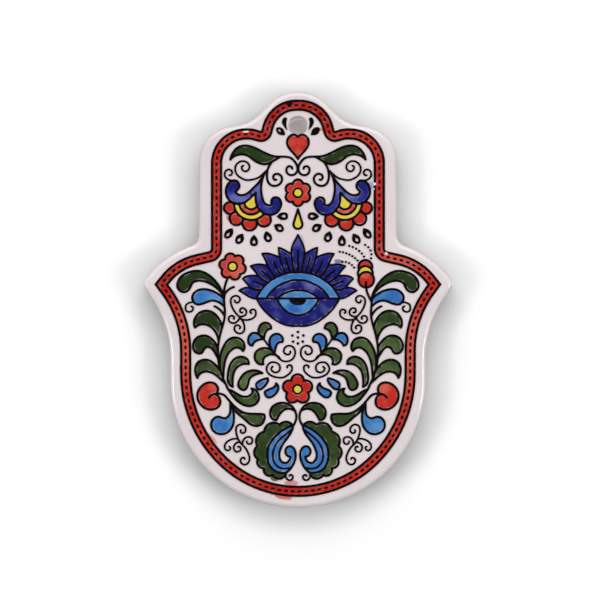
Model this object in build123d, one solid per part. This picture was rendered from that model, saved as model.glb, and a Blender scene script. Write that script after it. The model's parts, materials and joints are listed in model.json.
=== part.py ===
"""A glazed clay hamsa hand for hanging on a wall, painted with traditional ornament.

The hand hangs upright. X runs to the right, Z runs up, and the painted front faces -Y.
The origin lies on the axis of the hanging hole, in the plane of the flat back.
"""

import os
from math import acos, ceil, cos, radians, sin, tan

from build123d import *

# The hand, in millimetres
HAND_WIDTH = 89.8
HAND_HEIGHT = 121.0
PLAQUE_THICKNESS = 7.0
EDGE_ROUNDING = 1.6
GLAZE_THICKNESS = 0.4
BARE_EDGE = 1.0
BACK_CHAMFER = 0.5
HOLE_DIAMETER = 5.6
HOLE_LIP = 0.3

# The paint, in millimetres
INK_THICKNESS = 0.16
ENAMEL_THICKNESS = 0.1
OUTLINE_WIDTH = 0.68
SCROLL_WIDTH = 0.58
SEED_WIDTH = 0.75
BORDER_WIDTH = 3.3
BORDER_LINE = 0.7
STITCH_PITCH = 1.95
STITCH_LENGTH = 1.15
STITCH_WIDTH = 0.64
DOT_DIAMETER = 0.82
BUD_DOT_DIAMETER = 0.7
FLOWER_HEART_RADIUS = 1.3
FLOWER_HEART_LINE = 0.55

# How the lines are drawn: lengths in millimetres and shares of a length
LEAST_ROUNDING = 0.05
SIDE_SHARE = 0.999
LEAST_STEPS = 6
LOOP_GAP_WIDTHS = 4
TOUCHING = 0.001
SEED_HOLLOW_SHARE = 0.42

# The drawing is laid out on squared paper, counted in squares from the hanging hole
SHEET_COLUMNS = 89.8
SHEET_ROWS = 121.0

STRETCH_X = HAND_WIDTH / SHEET_COLUMNS
STRETCH_Z = HAND_HEIGHT / SHEET_ROWS
ROUND_SCALE = min(STRETCH_X, STRETCH_Z)
HOLE_RADIUS = HOLE_DIAMETER / 2
PAINT_KEEP_OUT = HOLE_RADIUS + HOLE_LIP

FRONT = Plane(origin=(0, -PLAQUE_THICKNESS, 0), x_dir=(1, 0, 0), z_dir=(0, -1, 0))
BACK = Plane(origin=(0, 0, 0), x_dir=(1, 0, 0), z_dir=(0, -1, 0))
AXIS = Plane.YZ

# Corners of the left half, top to bottom: column, row and rounding
HAND_CORNERS = [
    (0.0, 14.68, 11.3),
    (-13.66, 1.02, 11.0),
    (-28.5, -1.85, 9.9),
    (-28.9, -33.9, 3.0),
    (-39.5, -38.0, 27.0),
    (-45.54, -46.0, 2.6),
    (-37.2, -57.3, 32.0),
    (-37.2, -111.0, 37.0),
]
BORDER_CORNERS = [
    (-7.05, 5.9, 8.4),
    (-9.5, -3.6, 1.75),
    (-13.4, -2.45, 6.0),
    (-23.6, -2.45, 8.45),
    (-23.6, -37.6, 2.4),
    (-34.95, -40.2, 16.0),
    (-39.6, -46.1, 0.0),
    (-32.6, -55.7, 29.0),
    (-32.5, -86.6, 35.0),
    (-12.95, -106.1, 31.0),
]


def at(column, row):
    """The place on the front, in millimetres, of a place on the drawing."""
    return (column * STRETCH_X, row * STRETCH_Z)


def runs_at_corners(points):
    """The directions of a closed outline into and out of each of its corners."""
    runs = [(end - start).normalized() for start, end in zip(points, points[1:] + points[:1])]
    return list(zip(runs[-1:] + runs[:-1], runs))


def fitted(points, radii):
    """Roundings of corners, cut back where two of them would meet along one side."""
    turns = [radians(before.get_angle(after)) for before, after in runs_at_corners(points)]
    reaches = [radius * tan(turn / 2) for radius, turn in zip(radii, turns)]
    rooms = []
    for index, point in enumerate(points):
        needed = reaches[index - 1] + reaches[index]
        rooms.append((point - points[index - 1]).length / max(needed, LEAST_ROUNDING))
    pairs = zip(rooms, rooms[1:] + rooms[:1])
    shares = [min(1, SIDE_SHARE * before, SIDE_SHARE * after) for before, after in pairs]
    return [radius * share for radius, share in zip(radii, shares)]


def rounded_outline(corners, outward=0.0):
    """The closed outline whose left half has these corners, mirrored to the right and moved outward."""
    loop = corners + [(-column, row, rounding) for column, row, rounding in reversed(corners) if column]
    points = [Vector(*at(column, row)) for column, row, _ in loop]
    radii = fitted(points, [rounding * ROUND_SCALE for _, _, rounding in loop])
    moved = []
    grown = []
    for index, (before, after) in enumerate(runs_at_corners(points)):
        sides = [Vector(run.Y, -run.X) for run in (before, after)]
        moved.append(points[index] + (sides[0] + sides[1]) * outward / (1 + sides[0].dot(sides[1])))
        growth = outward if before.cross(after).Z > 0 else -outward
        grown.append(max(radii[index] + growth, LEAST_ROUNDING) if radii[index] else 0)
    return FilletPolyline(*moved, radius=fitted(moved, grown), close=True)


def curve(*places):
    """One smooth line through places on the drawing."""
    return Spline(*[at(*place) for place in places])


def on_circle(centre, radius, angle):
    """A place on the drawing, on a circle, at an angle from the right."""
    turn = radians(angle)
    return (centre[0] + radius * cos(turn), centre[1] + radius * sin(turn))


def arc(centre, radius, start, end):
    """An arc of a circle on the drawing, from one angle to another."""
    angles = (start, (start + end) / 2, end)
    return ThreePointArc(*[at(*on_circle(centre, radius, angle)) for angle in angles])


def disc(centre, radius):
    """A round field on the drawing."""
    return Pos(*at(*centre)) * Circle(radius)


def ring(centre, radius, width):
    """A round line of ink."""
    return disc(centre, radius + width / 2) - disc(centre, radius - width / 2)


def stroke(path, width):
    """A line of ink: the band of even width along a path, with round ends."""
    count = max(LEAST_STEPS, ceil(path.length / width))
    steps = [step / count for step in range(count + 1)]
    across = [Vector(-(path % step).Y, (path % step).X) * width / 2 for step in steps]
    upper = [path @ step + offset for step, offset in zip(steps, across)]
    lower = [path @ step - offset for step, offset in zip(steps, across)]
    far_end = ThreePointArc(upper[-1], path @ 1 + (path % 1) * width / 2, lower[-1])
    near_end = ThreePointArc(lower[0], path @ 0 - (path % 0) * width / 2, upper[0])
    return make_face([Spline(*upper), far_end, Spline(*reversed(lower)), near_end])


def ink(paths, width=OUTLINE_WIDTH):
    """Lines of ink joined into one field. A path that ends close to its start is drawn in two strokes."""
    runs = []
    for path in paths:
        loop = (path @ 0 - path @ 1).length < LOOP_GAP_WIDTHS * width
        runs = runs + ([path.trim(0, 0.5), path.trim(0.5, 1)] if loop else [path])
    return Sketch() + [stroke(run, width) for run in runs]


def field(*paths):
    """The field inside paths that follow each other, closed with straight lines."""
    edges = []
    for path, following in zip(paths, paths[1:] + paths[:1]):
        edges.append(path)
        if (path @ 1 - following @ 0).length > TOUCHING:
            edges.append(Line(path @ 1, following @ 0))
    return make_face(edges)


def joined(sketch):
    """A field that crosses the axis, joined with its mirror image."""
    return sketch + mirror(sketch, about=AXIS)


def both(sketch):
    """A field of the left half and, apart from it, its mirror image on the right."""
    return Sketch(children=[sketch, mirror(sketch, about=AXIS)])


def petals(centre, count, first_angle, reach, notch):
    """The outlines of a flower's petals: arcs from notch to notch."""
    half = 180 / count
    outlines = []
    for index in range(count):
        angle = first_angle + 2 * half * index
        ends = [on_circle(centre, notch, angle - half), on_circle(centre, notch, angle + half)]
        outlines.append(
            ThreePointArc(at(*ends[0]), at(*on_circle(centre, reach, angle)), at(*ends[1]))
        )
    return outlines


def drop(tip, centre, radius):
    """The outline of a drop: a point drawn out from a round end."""
    point = Vector(*at(*tip))
    middle = Vector(*at(*centre))
    toward = (point - middle).normalized()
    spread = acos(radius / (point - middle).length)
    aside = Vector(-toward.Y, toward.X) * sin(spread) * radius
    along = toward * cos(spread) * radius
    left = middle + along + aside
    right = middle + along - aside
    return [Line(point, left), ThreePointArc(left, middle - toward * radius, right), Line(right, point)]


def seed(tip, centre, radius):
    """The outline of a plump seed: two bulging sides from a point to a round end."""
    point = Vector(*at(*tip))
    middle = Vector(*at(*centre))
    toward = (point - middle).normalized()
    aside = Vector(-toward.Y, toward.X)
    end = middle - toward * radius
    left = Spline(point, middle + aside * radius, end, tangents=(aside * radius - toward, -aside))
    right = Spline(end, middle - aside * radius, point, tangents=(-aside, toward + aside * radius))
    return [left, right]


def painted_flower(name, centre, count, first_angle, reach, notch):
    """A red flower with a yellow heart inside a black ring."""
    outlines = petals(centre, count, first_angle, reach, notch)
    lines = ink(outlines) + ring(centre, FLOWER_HEART_RADIUS, FLOWER_HEART_LINE)
    heart = disc(centre, FLOWER_HEART_RADIUS)
    paint[name + "_lines"] = lines
    paint[name + "_petals"] = field(*outlines) - heart - lines
    paint[name + "_heart"] = heart - lines


# Each painted piece: its name and its field on the front
paint = {}

# Border: two ink lines, the red band between them, and stitches along the middle
border_wire = rounded_outline(BORDER_CORNERS)


def border_offset(distance):
    """The face inside the border's middle line moved outward by a distance."""
    return make_face(rounded_outline(BORDER_CORNERS, distance))


half_width = BORDER_WIDTH / 2
half_band = half_width - BORDER_LINE
border_outer_line = border_offset(half_width) - border_offset(half_band)
border_inner_line = border_offset(-half_band) - border_offset(-half_width)
paint["border_lines"] = border_outer_line + border_inner_line
stitch_count = round(border_wire.length / STITCH_PITCH)
stitch_shape = SlotOverall(STITCH_LENGTH, STITCH_WIDTH)
stitch_list = []
for index in range(stitch_count):
    place = (index + 0.5) / stitch_count
    spot = border_wire.position_at(place)
    run = border_wire.tangent_at(place)
    stitch_plane = Plane(origin=spot, x_dir=run, z_dir=(0, 0, 1))
    stitch_list.append(stitch_plane * stitch_shape)
paint["border_stitches"] = Sketch(children=stitch_list)
paint["border_band"] = border_offset(half_band) - border_offset(-half_band) - stitch_list

# Heart under the hole, and the seeds around the hole, the low left one hollow
heart_half = curve((0, -3.3), (-1.8, -2.75), (-3.1, -4.4), (-2.85, -6), (-1.4, -7.9), (0, -9.7))
heart_lines = joined(stroke(heart_half, OUTLINE_WIDTH))
paint["heart_line"] = heart_lines
paint["heart"] = joined(field(heart_half)) - heart_lines
low_seed = field(*seed((-3.7, -2.8), (-5.5, -1.3), 0.92))
high_seed = field(
    curve((-3.1, 1.95), (-3.9, 2.35), (-4.6, 1.4), (-4.35, 0.2), (-3.05, -1.35)),
    curve((-3.05, -1.35), (-3.35, 0.3), (-3.35, 1.1), (-3.1, 1.95)),
)
low_hollow = field(*seed((-4.85, -1.85), (-5.45, -1.35), 0.28))
hole_seed_pair = low_seed + high_seed - Circle(PAINT_KEEP_OUT)
right_hole_seeds = mirror(hole_seed_pair, about=AXIS)
paint["hole_seeds"] = Sketch(children=[hole_seed_pair - low_hollow, right_hole_seeds])

# Crown: leaves, scrolls and hook blossoms
leaf_top = curve(
    (-19.6, -9.85), (-18.8, -7.8), (-17.4, -6.35), (-15.2, -5.8), (-11.6, -6.9), (-8, -8.6), (-5.7, -9.05)
)
leaf_foot = curve(
    (-5.3, -9.2), (-8, -10.75), (-9.5, -11.2), (-10.9, -11), (-12.4, -10.3),
    (-13.8, -9.2), (-15.6, -8.4), (-17, -8.4), (-18.5, -8.9), (-19.6, -9.85),
)
axis_scroll = curve(
    (-6.2, -9.0), (-3.75, -9.05), (-2.1, -9.4), (-0.9, -10.5), (-0.2, -11.9), (-0.2, -13.1), (-0.9, -14.1),
    (-1.95, -14.4), (-3, -13.9), (-3.35, -12.8), (-2.85, -11.9), (-2.1, -11.85), (-1.65, -12.5),
)
inner_scroll = curve(
    (-7.4, -10.4), (-8.6, -12.3), (-8.95, -15.2), (-8.5, -16.6), (-7.5, -17.4), (-6.6, -17.5), (-5.35, -17),
    (-4.65, -15.9), (-4.8, -14.8), (-5.55, -14.1), (-6.6, -14.1), (-7.15, -14.8), (-7, -15.5), (-6.3, -15.7),
)
outer_scroll = curve(
    (-8.8, -12.8), (-10.2, -14.1), (-11.6, -15.15), (-13.4, -15.7), (-14.9, -15.8), (-16.3, -15.3),
    (-17.6, -14.3), (-18.2, -12.8), (-18, -11.6), (-17.2, -10.7), (-15.95, -10.3), (-14.7, -10.75),
    (-14.05, -11.9), (-14.4, -12.9), (-15.2, -13.3), (-16.1, -12.8), (-16.3, -12), (-15.8, -11.65),
)
hook_scroll = curve(
    (-18.6, -15.9), (-20.3, -15.6), (-21.1, -14.8), (-21.2, -13.7), (-20.6, -12.9), (-19.7, -12.8),
    (-19.1, -13.45), (-19.3, -14.25), (-19.9, -14.4),
)
hook_left = curve(
    (-9.7, -13.8), (-10.75, -15.7), (-13.1, -18.3), (-14.5, -19.55), (-16.7, -20.2), (-17.7, -19.75),
    (-18.1, -19.1),
)
hook_curl = curve(
    (-18.1, -19.1), (-17.4, -18.5), (-17, -17.6), (-17.2, -16.7), (-18.1, -15.95), (-19.2, -16.05),
    (-20.7, -17.8), (-20.9, -19.2), (-20.6, -20.6), (-19.7, -21.8), (-18.3, -22.6), (-16.85, -22.7),
    (-15.6, -22.35), (-14.3, -21.45), (-12.25, -19.45),
)
hook_arm = curve(
    (-12.25, -19.45), (-12.2, -21.9), (-11.8, -23.3), (-10.9, -24.6), (-9.65, -25.6), (-8.2, -25.9),
    (-7, -25.7), (-5.7, -24.8), (-5.1, -23.7), (-4.85, -22.4), (-5.35, -21.3), (-6.45, -20.8),
    (-7.3, -21.1), (-7.7, -21.8), (-7.55, -22.7),
)
hook_right = curve(
    (-7.55, -22.7), (-8.4, -23.15), (-9.3, -22.8), (-10, -21.9), (-10.4, -20.65), (-10.7, -17.95),
    (-10.4, -15.9), (-9.7, -13.8),
)
DOME_CENTRE = (-13.6, -22.4)
dome_arcs = [
    arc(DOME_CENTRE, 5.0, 180, 318),
    arc(DOME_CENTRE, 3.4, 182, 320),
    arc(DOME_CENTRE, 1.9, 175, 330),
]
domes = [field(path, curve((-10.2, -23.5), (-12.2, -18.9), (-17, -21.4))) for path in dome_arcs]
blossom = field(hook_left, hook_curl, hook_arm, hook_right)
PETAL_DISCS = [
    ((-19.75, -23.9), 1.7),
    ((-17.85, -26.95), 1.95),
    ((-14.0, -28.35), 2.1),
    ((-9.85, -27.3), 2.0),
]
petal_field = Sketch() + [disc(centre, radius) for centre, radius in PETAL_DISCS]
petal_ink = Sketch() + [ring(centre, radius, OUTLINE_WIDTH) for centre, radius in PETAL_DISCS]
crown_outlines = [leaf_top, leaf_foot, hook_left, hook_curl, hook_arm, hook_right]
crown_left = ink(crown_outlines + [axis_scroll, inner_scroll] + dome_arcs)
crown_left = crown_left + ink([outer_scroll, hook_scroll], SCROLL_WIDTH)
crown_left = crown_left + (petal_ink - domes[0] - blossom)
paint["crown_lines"] = joined(crown_left)
paint["crown_leaves"] = both(field(leaf_top, leaf_foot) - crown_left)
paint["blossom_hooks"] = both(blossom - crown_left)
paint["blossom_petals"] = both(petal_field - domes[0] - blossom - crown_left)
paint["blossom_outer_domes"] = both(domes[0] - domes[1] - blossom - crown_left)
paint["blossom_middle_domes"] = both(domes[1] - domes[2] - blossom - crown_left)
paint["blossom_inner_domes"] = both(domes[2] - blossom - crown_left)

# The axis flower, the yellow drop and the hollow seeds under the crown
painted_flower("axis_flower", (0, -19.5), 6, 90, 3.85, 2.95)
drop_outline = drop((0, -24.3), (0, -28.65), 1.3)
paint["drop_line"] = ink(drop_outline)
paint["drop"] = field(*drop_outline) - paint["drop_line"]
# Each seed: its tip, the middle of its round end and the radius of the middle of its line
SEEDS = [
    ((-18.9, -29.75), (-20.45, -31.85), 0.68),
    ((-15.95, -31.3), (-17.15, -33.3), 0.76),
    ((-12.75, -31.65), (-12.75, -33.85), 0.78),
    ((-9.3, -30.6), (-8.65, -32.7), 0.8),
    ((-6.95, -28.75), (-5.15, -29.85), 0.78),
    ((-6.2, -26.4), (-4.0, -26.3), 0.78),
]
seed_rings = []
for tip, middle, radius in SEEDS:
    whole = field(*seed(tip, middle, radius + SEED_WIDTH / 2))
    hollow_tip = [end + (start - end) * SEED_HOLLOW_SHARE for start, end in zip(tip, middle)]
    seed_rings.append(whole - field(*seed(hollow_tip, middle, radius - SEED_WIDTH / 2)))
paint["seeds"] = both(Sketch() + seed_rings)

# The eye and its lashes
EYE_CORNER = (-12.0, -50.15)
lid_half = curve(EYE_CORNER, (-9.85, -46.7), (-6.25, -44), (-2.7, -42.75), (0, -42.6))
band_half = curve((-9.1, -50.15), (-7.15, -47.6), (-4.6, -45.9), (-2.2, -45), (0, -44.8))
iris_half = curve((-6.1, -50.15), (-4.5, -49.05), (-2.5, -48.1), (0, -47.9))
lower_iris_half = curve((-5.9, -50.15), (-5.4, -51.6), (-4.1, -53.2), (-2.5, -54.4), (0, -54.95))
lower_lid_half = curve(EYE_CORNER, (-9.85, -53.5), (-8, -55.3), (-4.5, -57.5), (0, -58.1))
pupil_half = curve((-2.5, -50.15), (-2.2, -51.2), (-1.3, -51.9), (0, -52.1))
eye_middle = Line(at(*EYE_CORNER), at(0, EYE_CORNER[1]))
LASH_EDGES = [
    [(0, -31.7), (-0.95, -33.5), (-1.6, -35), (-1.9, -37.25)],
    [(-2.1, -37.15), (-3.2, -36.5), (-4.5, -35.8), (-5.6, -35.4)],
    [(-5.6, -35.6), (-5.5, -36.7), (-5.3, -38.2)],
    [(-5.5, -38.15), (-7.15, -37.5), (-8.8, -37.1), (-10.4, -37.2)],
    [(-10.3, -37.4), (-9.4, -39), (-8.9, -40.6)],
    [(-9.1, -40.6), (-10.6, -40.3), (-12.4, -40.35), (-13.7, -40.8)],
    [(-13.55, -41), (-12.4, -42.3), (-11.5, -43.6)],
    [(-11.7, -43.6), (-13.4, -43.5), (-14.9, -43.75), (-16, -44.4)],
    [(-15.85, -44.6), (-14.6, -46), (-13.6, -47.2)],
    [(-13.8, -47.15), (-14.5, -47), (-15.95, -47.25), (-17, -47.9)],
    [(-16.8, -48), (-15.95, -48.5), (-13.8, -49.8), (-12.2, -50.2)],
]
LASH_SEAMS = [
    [(-1.85, -37.5), (-1.6, -39.6), (-1.05, -42.5)],
    [(-5.2, -38.45), (-4.6, -40.3), (-3.5, -42.8)],
    [(-8.75, -40.85), (-7.9, -42.2), (-6.5, -43.95)],
    [(-11.25, -43.8), (-10.3, -44.6), (-8.75, -45.55)],
    [(-13.3, -47.3), (-12.2, -47.6), (-10.75, -47.6)],
]
LASH_VEINS = [
    [(-3.5, -38.2), (-3.0, -40.4), (-2.25, -42.55)],
    [(-7.0, -39.6), (-6.2, -41.4), (-5.0, -43.2)],
    [(-10.6, -42.1), (-9.2, -43.2), (-7.6, -44.6)],
    [(-12.9, -45.2), (-11.4, -45.8), (-9.75, -46.45)],
]
lash_edges = [curve(*places) for places in LASH_EDGES]
lash_seams = [curve(*places) for places in LASH_SEAMS + LASH_VEINS]
centre_vein = Line(at(0, -36.2), at(0, -42.5))
eye_paths = [lid_half, band_half, iris_half, lower_iris_half, lower_lid_half, eye_middle, centre_vein]
eye_lines = joined(ink(eye_paths + lash_edges + lash_seams, SCROLL_WIDTH))


def eye_field(half):
    """A field of the eye between a curve of its left half, the axis and the middle line."""
    return joined(field(half, Line(half @ 1, at(0, EYE_CORNER[1]))))


upper_lid = eye_field(lid_half)
upper_band = eye_field(band_half)
upper_iris = eye_field(iris_half)
lower_lid = eye_field(lower_lid_half)
lower_iris = eye_field(lower_iris_half)
pupil = eye_field(pupil_half)
lash_crown = joined(field(*lash_edges, Line(at(*EYE_CORNER), at(0, EYE_CORNER[1]))))
paint["eye_lines"] = eye_lines
paint["eye_lashes"] = lash_crown - upper_lid - eye_lines
paint["eye_lid"] = upper_lid - upper_band - eye_lines
paint["eye_band"] = upper_band - upper_iris - eye_lines
paint["eye_upper_iris"] = upper_iris - eye_lines
paint["eye_lower_iris"] = lower_iris - pupil - eye_lines
paint["eye_pupil"] = pupil - eye_lines
paint["eye_lower_lid"] = lower_lid - lower_iris - eye_lines

# The side branches: the left one bears a flower, the right one a bud
branch_stem = curve(
    (-21.5, -49.6), (-21.4, -51.5), (-21.2, -55), (-21.9, -58.3), (-22.5, -60.4), (-23, -62.8),
    (-23.2, -65.9), (-22.7, -70.2), (-21.5, -73.8), (-20.3, -76.3),
)
branch_twig = curve((-24.2, -52.4), (-23, -53.1), (-21.95, -54.15), (-21.3, -55.3))
leaf_1 = [
    curve(
        (-21.7, -49.0), (-22.85, -46.6), (-25.4, -43.7), (-28.6, -42.2), (-32, -42.7), (-34.5, -44.6),
        (-34.8, -47.15), (-33.3, -48.3), (-31.5, -47.4), (-30.6, -45.7), (-28.4, -45), (-25.4, -45.9),
        (-22.9, -47.7), (-21.6, -49.3),
    )
]
leaf_2 = [
    curve((-22.1, -58.4), (-23, -55.95), (-25.4, -53.9), (-28.2, -54.1), (-30, -56.3), (-29.85, -58.6)),
    curve((-29.85, -58.6), (-27.9, -57.65), (-25, -58.6), (-23.3, -61.15), (-22.95, -62.6)),
]
leaf_3 = [
    curve(
        (-23.15, -64.8), (-24.4, -62.5), (-26.75, -60.95), (-29.25, -61.5), (-30.4, -63.75), (-29.6, -65.8),
        (-28, -66.0), (-27.1, -64.7), (-26, -64.2), (-24.2, -65.7), (-23.15, -67.5),
    )
]
leaf_4 = [
    curve((-22.3, -71.6), (-24.4, -68.95), (-26.75, -67.9), (-29.1, -68.8), (-29.8, -70.9), (-29.15, -73.2)),
    curve((-29.15, -73.2), (-27.8, -71.6), (-25.5, -71.5), (-23.15, -72.9), (-21.1, -74.7)),
]
leaf_5 = [
    curve(
        (-22.5, -71.0), (-22.7, -68), (-21.7, -64.3), (-19.5, -61.75), (-17, -61.75), (-15.5, -63.7),
        (-15.95, -65.4),
    ),
    curve((-15.95, -65.4), (-17.9, -64.4), (-19.9, -65.7), (-21.15, -68.4), (-21.6, -71.6), (-21.7, -73.2)),
]
leaf_6 = [
    curve(
        (-18.9, -75.8), (-19.9, -75), (-20.2, -71.4), (-19.2, -68.6), (-16.85, -67.05), (-14.9, -67.6),
        (-14.3, -69.2),
    ),
    curve((-14.3, -69.2), (-15.95, -69.2), (-17.9, -70.4), (-18.9, -73.2), (-18.9, -75.8)),
]
leaf_7 = [
    curve(
        (-10.3, -71.8), (-12.7, -71), (-15.05, -71.6), (-16.85, -73.6), (-17.1, -75.9), (-15.6, -76.7),
        (-14.6, -75.4), (-14, -73.4), (-12.3, -72.2), (-10.3, -71.8),
    )
]
leaf_8 = [
    curve(
        (-20.2, -76.6), (-18.8, -77.1), (-16.7, -78.35), (-14.15, -78.4), (-13.2, -77.3), (-13.5, -76.3),
    ),
    curve(
        (-13.5, -76.3), (-11.7, -77.4), (-11.4, -79.5), (-13.1, -81.2), (-15.8, -81), (-18.5, -78.9),
        (-20.6, -75.9),
    ),
]
fruit_stem = curve(
    (-25.75, -78.9), (-24.9, -78.1), (-23.9, -77.8), (-22.4, -77.8), (-21.4, -78.2), (-20.4, -79.2),
    (-19.3, -80.5), (-18.1, -81.7), (-15.2, -83.4), (-12.4, -83.6), (-9.85, -83.8),
)
leaf_9 = [
    curve(
        (-9.85, -83.8), (-9.85, -85.6), (-11.3, -87.05), (-13.4, -86.8), (-15.8, -84.9), (-18.3, -82.6),
        (-18.95, -80.95),
    ),
    curve((-18.95, -80.95), (-18.1, -81.7), (-15.2, -83.4), (-12.4, -83.6), (-9.85, -83.8)),
]
blue_drop = [
    curve(
        (-21.6, -50.1), (-23, -48.95), (-26.6, -47.5), (-29.5, -48.05), (-30.65, -50), (-29.7, -51.7),
        (-27.3, -51.55), (-24.8, -50.75), (-22.5, -51.5), (-21.4, -52.5),
    )
]
low_blue_drop = [
    curve(
        (-19.6, -80.1), (-19.6, -82), (-20.1, -84.2), (-21.2, -84.9), (-23, -84.45), (-24.9, -85.6),
        (-24.95, -87.9), (-23.15, -89.4), (-20.6, -89.1), (-18.9, -87), (-18.6, -83.95), (-19.15, -80.7),
    )
]
drop_curl = curve(
    (-30.2, -51.2), (-31.5, -51.4), (-32.4, -52), (-32.6, -52.9), (-32.3, -53.8), (-31.5, -54.05),
    (-30.6, -53.6), (-30.4, -52.9), (-30.9, -52.45),
)
fruit = [
    curve(
        (-23.7, -77.7), (-23.2, -76.3), (-24.05, -74.9), (-25.5, -74.5), (-28, -75.6), (-29.2, -78.3),
        (-28, -81.15), (-25.1, -82.4), (-22.7, -81), (-22.8, -78.9), (-24.1, -77.95),
    )
]
branch_leaf_sets = [leaf_1, leaf_2, leaf_3, leaf_4, leaf_5, leaf_8, leaf_9]
branch_outlines = sum(branch_leaf_sets, [])[:-1] + blue_drop + low_blue_drop + fruit
branch_left = ink(branch_outlines + [branch_stem, branch_twig, fruit_stem]) + ink([drop_curl], SCROLL_WIDTH)
branch_right = mirror(branch_left, about=AXIS)
branch_leaf_field = Sketch() + [field(*leaf) - branch_left for leaf in branch_leaf_sets]
branch_drop_field = Sketch() + [field(*blue_drop) - branch_left, field(*low_blue_drop) - branch_left]
fruit_field = field(*fruit) - branch_left

FLOWER_CENTRE = (-18.95, -40.9)
flower_stem = curve((-20.4, -44.4), (-21.2, -46.6), (-21.5, -49.9))
flower_twig = curve((-18.6, -46.8), (-20, -47.5), (-21.05, -48.6), (-21.4, -50.2))
flower_outline = petals(FLOWER_CENTRE, 6, 46, 3.9, 3.0)
flower_ink = ink(flower_outline) + ring(FLOWER_CENTRE, FLOWER_HEART_RADIUS, FLOWER_HEART_LINE)
flower_heart = disc(FLOWER_CENTRE, FLOWER_HEART_RADIUS)
paint["left_branch_lines"] = branch_left + flower_ink + ink([flower_stem, flower_twig])
paint["left_branch_leaves"] = branch_leaf_field
paint["left_branch_drops"] = branch_drop_field
paint["left_branch_fruit"] = fruit_field
paint["left_flower_petals"] = field(*flower_outline) - flower_heart - flower_ink
paint["left_flower_heart"] = flower_heart - flower_ink

BUD_DISC = ((19.8, -44.7), 2.25)
BUD_BAND = ((19.55, -42.9), 2.15)
BUD_CAP = ((19.55, -41.0), 2.0)
bud_stem = curve((19.8, -45.4), (19.8, -47.2), (20.2, -48.7), (21.3, -51))
bud_ink = ring(*BUD_DISC, OUTLINE_WIDTH)
bud_ink = bud_ink + (ring(*BUD_BAND, OUTLINE_WIDTH) - disc(*BUD_DISC))
bud_ink = bud_ink + (ring(*BUD_CAP, OUTLINE_WIDTH) - disc(*BUD_BAND) - disc(*BUD_DISC))
bud_ink = bud_ink + ink([bud_stem])
paint["right_branch_lines"] = branch_right + bud_ink
paint["right_branch_leaves"] = mirror(branch_leaf_field, about=AXIS)
paint["right_branch_drops"] = mirror(branch_drop_field, about=AXIS)
paint["right_branch_fruit"] = mirror(fruit_field, about=AXIS)
paint["bud_disc"] = disc(*BUD_DISC) - bud_ink
paint["bud_band"] = disc(*BUD_BAND) - disc(*BUD_DISC) - bud_ink
paint["bud_cap"] = disc(*BUD_CAP) - disc(*BUD_BAND) - disc(*BUD_DISC) - bud_ink
BUD_DOT_ROWS = [
    ([(19.5, -34.6), (21.05, -36.2), (21.2, -38.5)], 5),
    ([(14.9, -34.9), (17.7, -36.3), (19.15, -38)], 6),
    ([(12.1, -36.6), (14.9, -37.4), (17.3, -39.1)], 7),
    ([(12.9, -39.5), (14.95, -39.95), (16.3, -41.2)], 5),
]
bud_dot = Circle(BUD_DOT_DIAMETER / 2)
bud_dots = []
for places, count in BUD_DOT_ROWS:
    row_path = curve(*places)
    bud_dots = bud_dots + [Pos(row_path @ (index / (count - 1))) * bud_dot for index in range(count)]
paint["bud_dots"] = Sketch(children=bud_dots)

# Scroll clusters beside the branches
CLUSTER_SCROLLS = [
    [
        (-18.3, -50.7), (-17.7, -51.4), (-17, -51), (-16.85, -50.1), (-17.4, -49.5), (-18.3, -49.4),
        (-19.2, -49.95), (-19.5, -50.85), (-19.35, -51.9), (-18.1, -54.3), (-17, -55.5), (-16.1, -56.6),
        (-15.6, -57.85), (-15.5, -58.9), (-15.95, -59.95), (-16.85, -60.3), (-17.8, -60), (-18.4, -59.2),
        (-18.3, -58.3), (-17.55, -57.9), (-16.85, -58.2), (-16.9, -58.9),
    ],
    [
        (-17.1, -55.4), (-15.95, -55.3), (-15.15, -54.8), (-14.95, -53.9), (-15.4, -53.2), (-16.2, -52.9),
        (-16.8, -53.5), (-16.6, -54.15), (-16.1, -54.2),
    ],
    [
        (-16.6, -56.1), (-14.9, -56.4), (-13.4, -56.05), (-12.35, -55.15), (-12.2, -54.3), (-12.5, -53.5),
        (-13.25, -53.35), (-13.85, -53.8), (-13.5, -54.4),
    ],
    [
        (-16.9, -55.5), (-17.6, -56.8), (-18.5, -57.3), (-19.5, -57.1), (-20.1, -56.3), (-19.9, -55.5),
        (-19.2, -55.15), (-18.55, -55.5), (-18.6, -56.1),
    ],
    [
        (-16.5, -88.3), (-16.6, -88.85), (-16.05, -89.2), (-15.3, -88.75), (-15.2, -87.8), (-15.8, -86.95),
        (-16.7, -86.7), (-17.6, -87.1), (-18, -88.3), (-17.8, -89.6), (-16.5, -92.2), (-15.4, -93.3),
        (-14.5, -94.8), (-14.05, -96.2), (-14.25, -97.5), (-14.9, -98.2), (-15.8, -98.3), (-16.5, -97.7),
        (-16.6, -96.9), (-15.95, -96.3), (-15.4, -96.7),
    ],
    [
        (-17.4, -90.9), (-18.8, -90.9), (-20.1, -91.4), (-21, -92.25), (-21.25, -93.3), (-20.8, -94.1),
        (-20.1, -94.2), (-19.6, -93.7), (-19.9, -93.1),
    ],
    [
        (-16.8, -91.9), (-17.7, -92), (-18.5, -92.8), (-18.55, -93.8), (-17.9, -94.6), (-17.1, -94.5),
        (-16.6, -93.9), (-16.85, -93.2), (-17.4, -93.2),
    ],
    [
        (-16.1, -92.5), (-15.9, -91.4), (-15.2, -90.55), (-14.3, -90.3), (-13.4, -90.7), (-13.25, -91.6),
        (-13.8, -92.35), (-14.5, -92.3), (-14.8, -91.6),
    ],
]
paint["cluster_scrolls"] = both(ink([curve(*places) for places in CLUSTER_SCROLLS], SCROLL_WIDTH))

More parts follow.
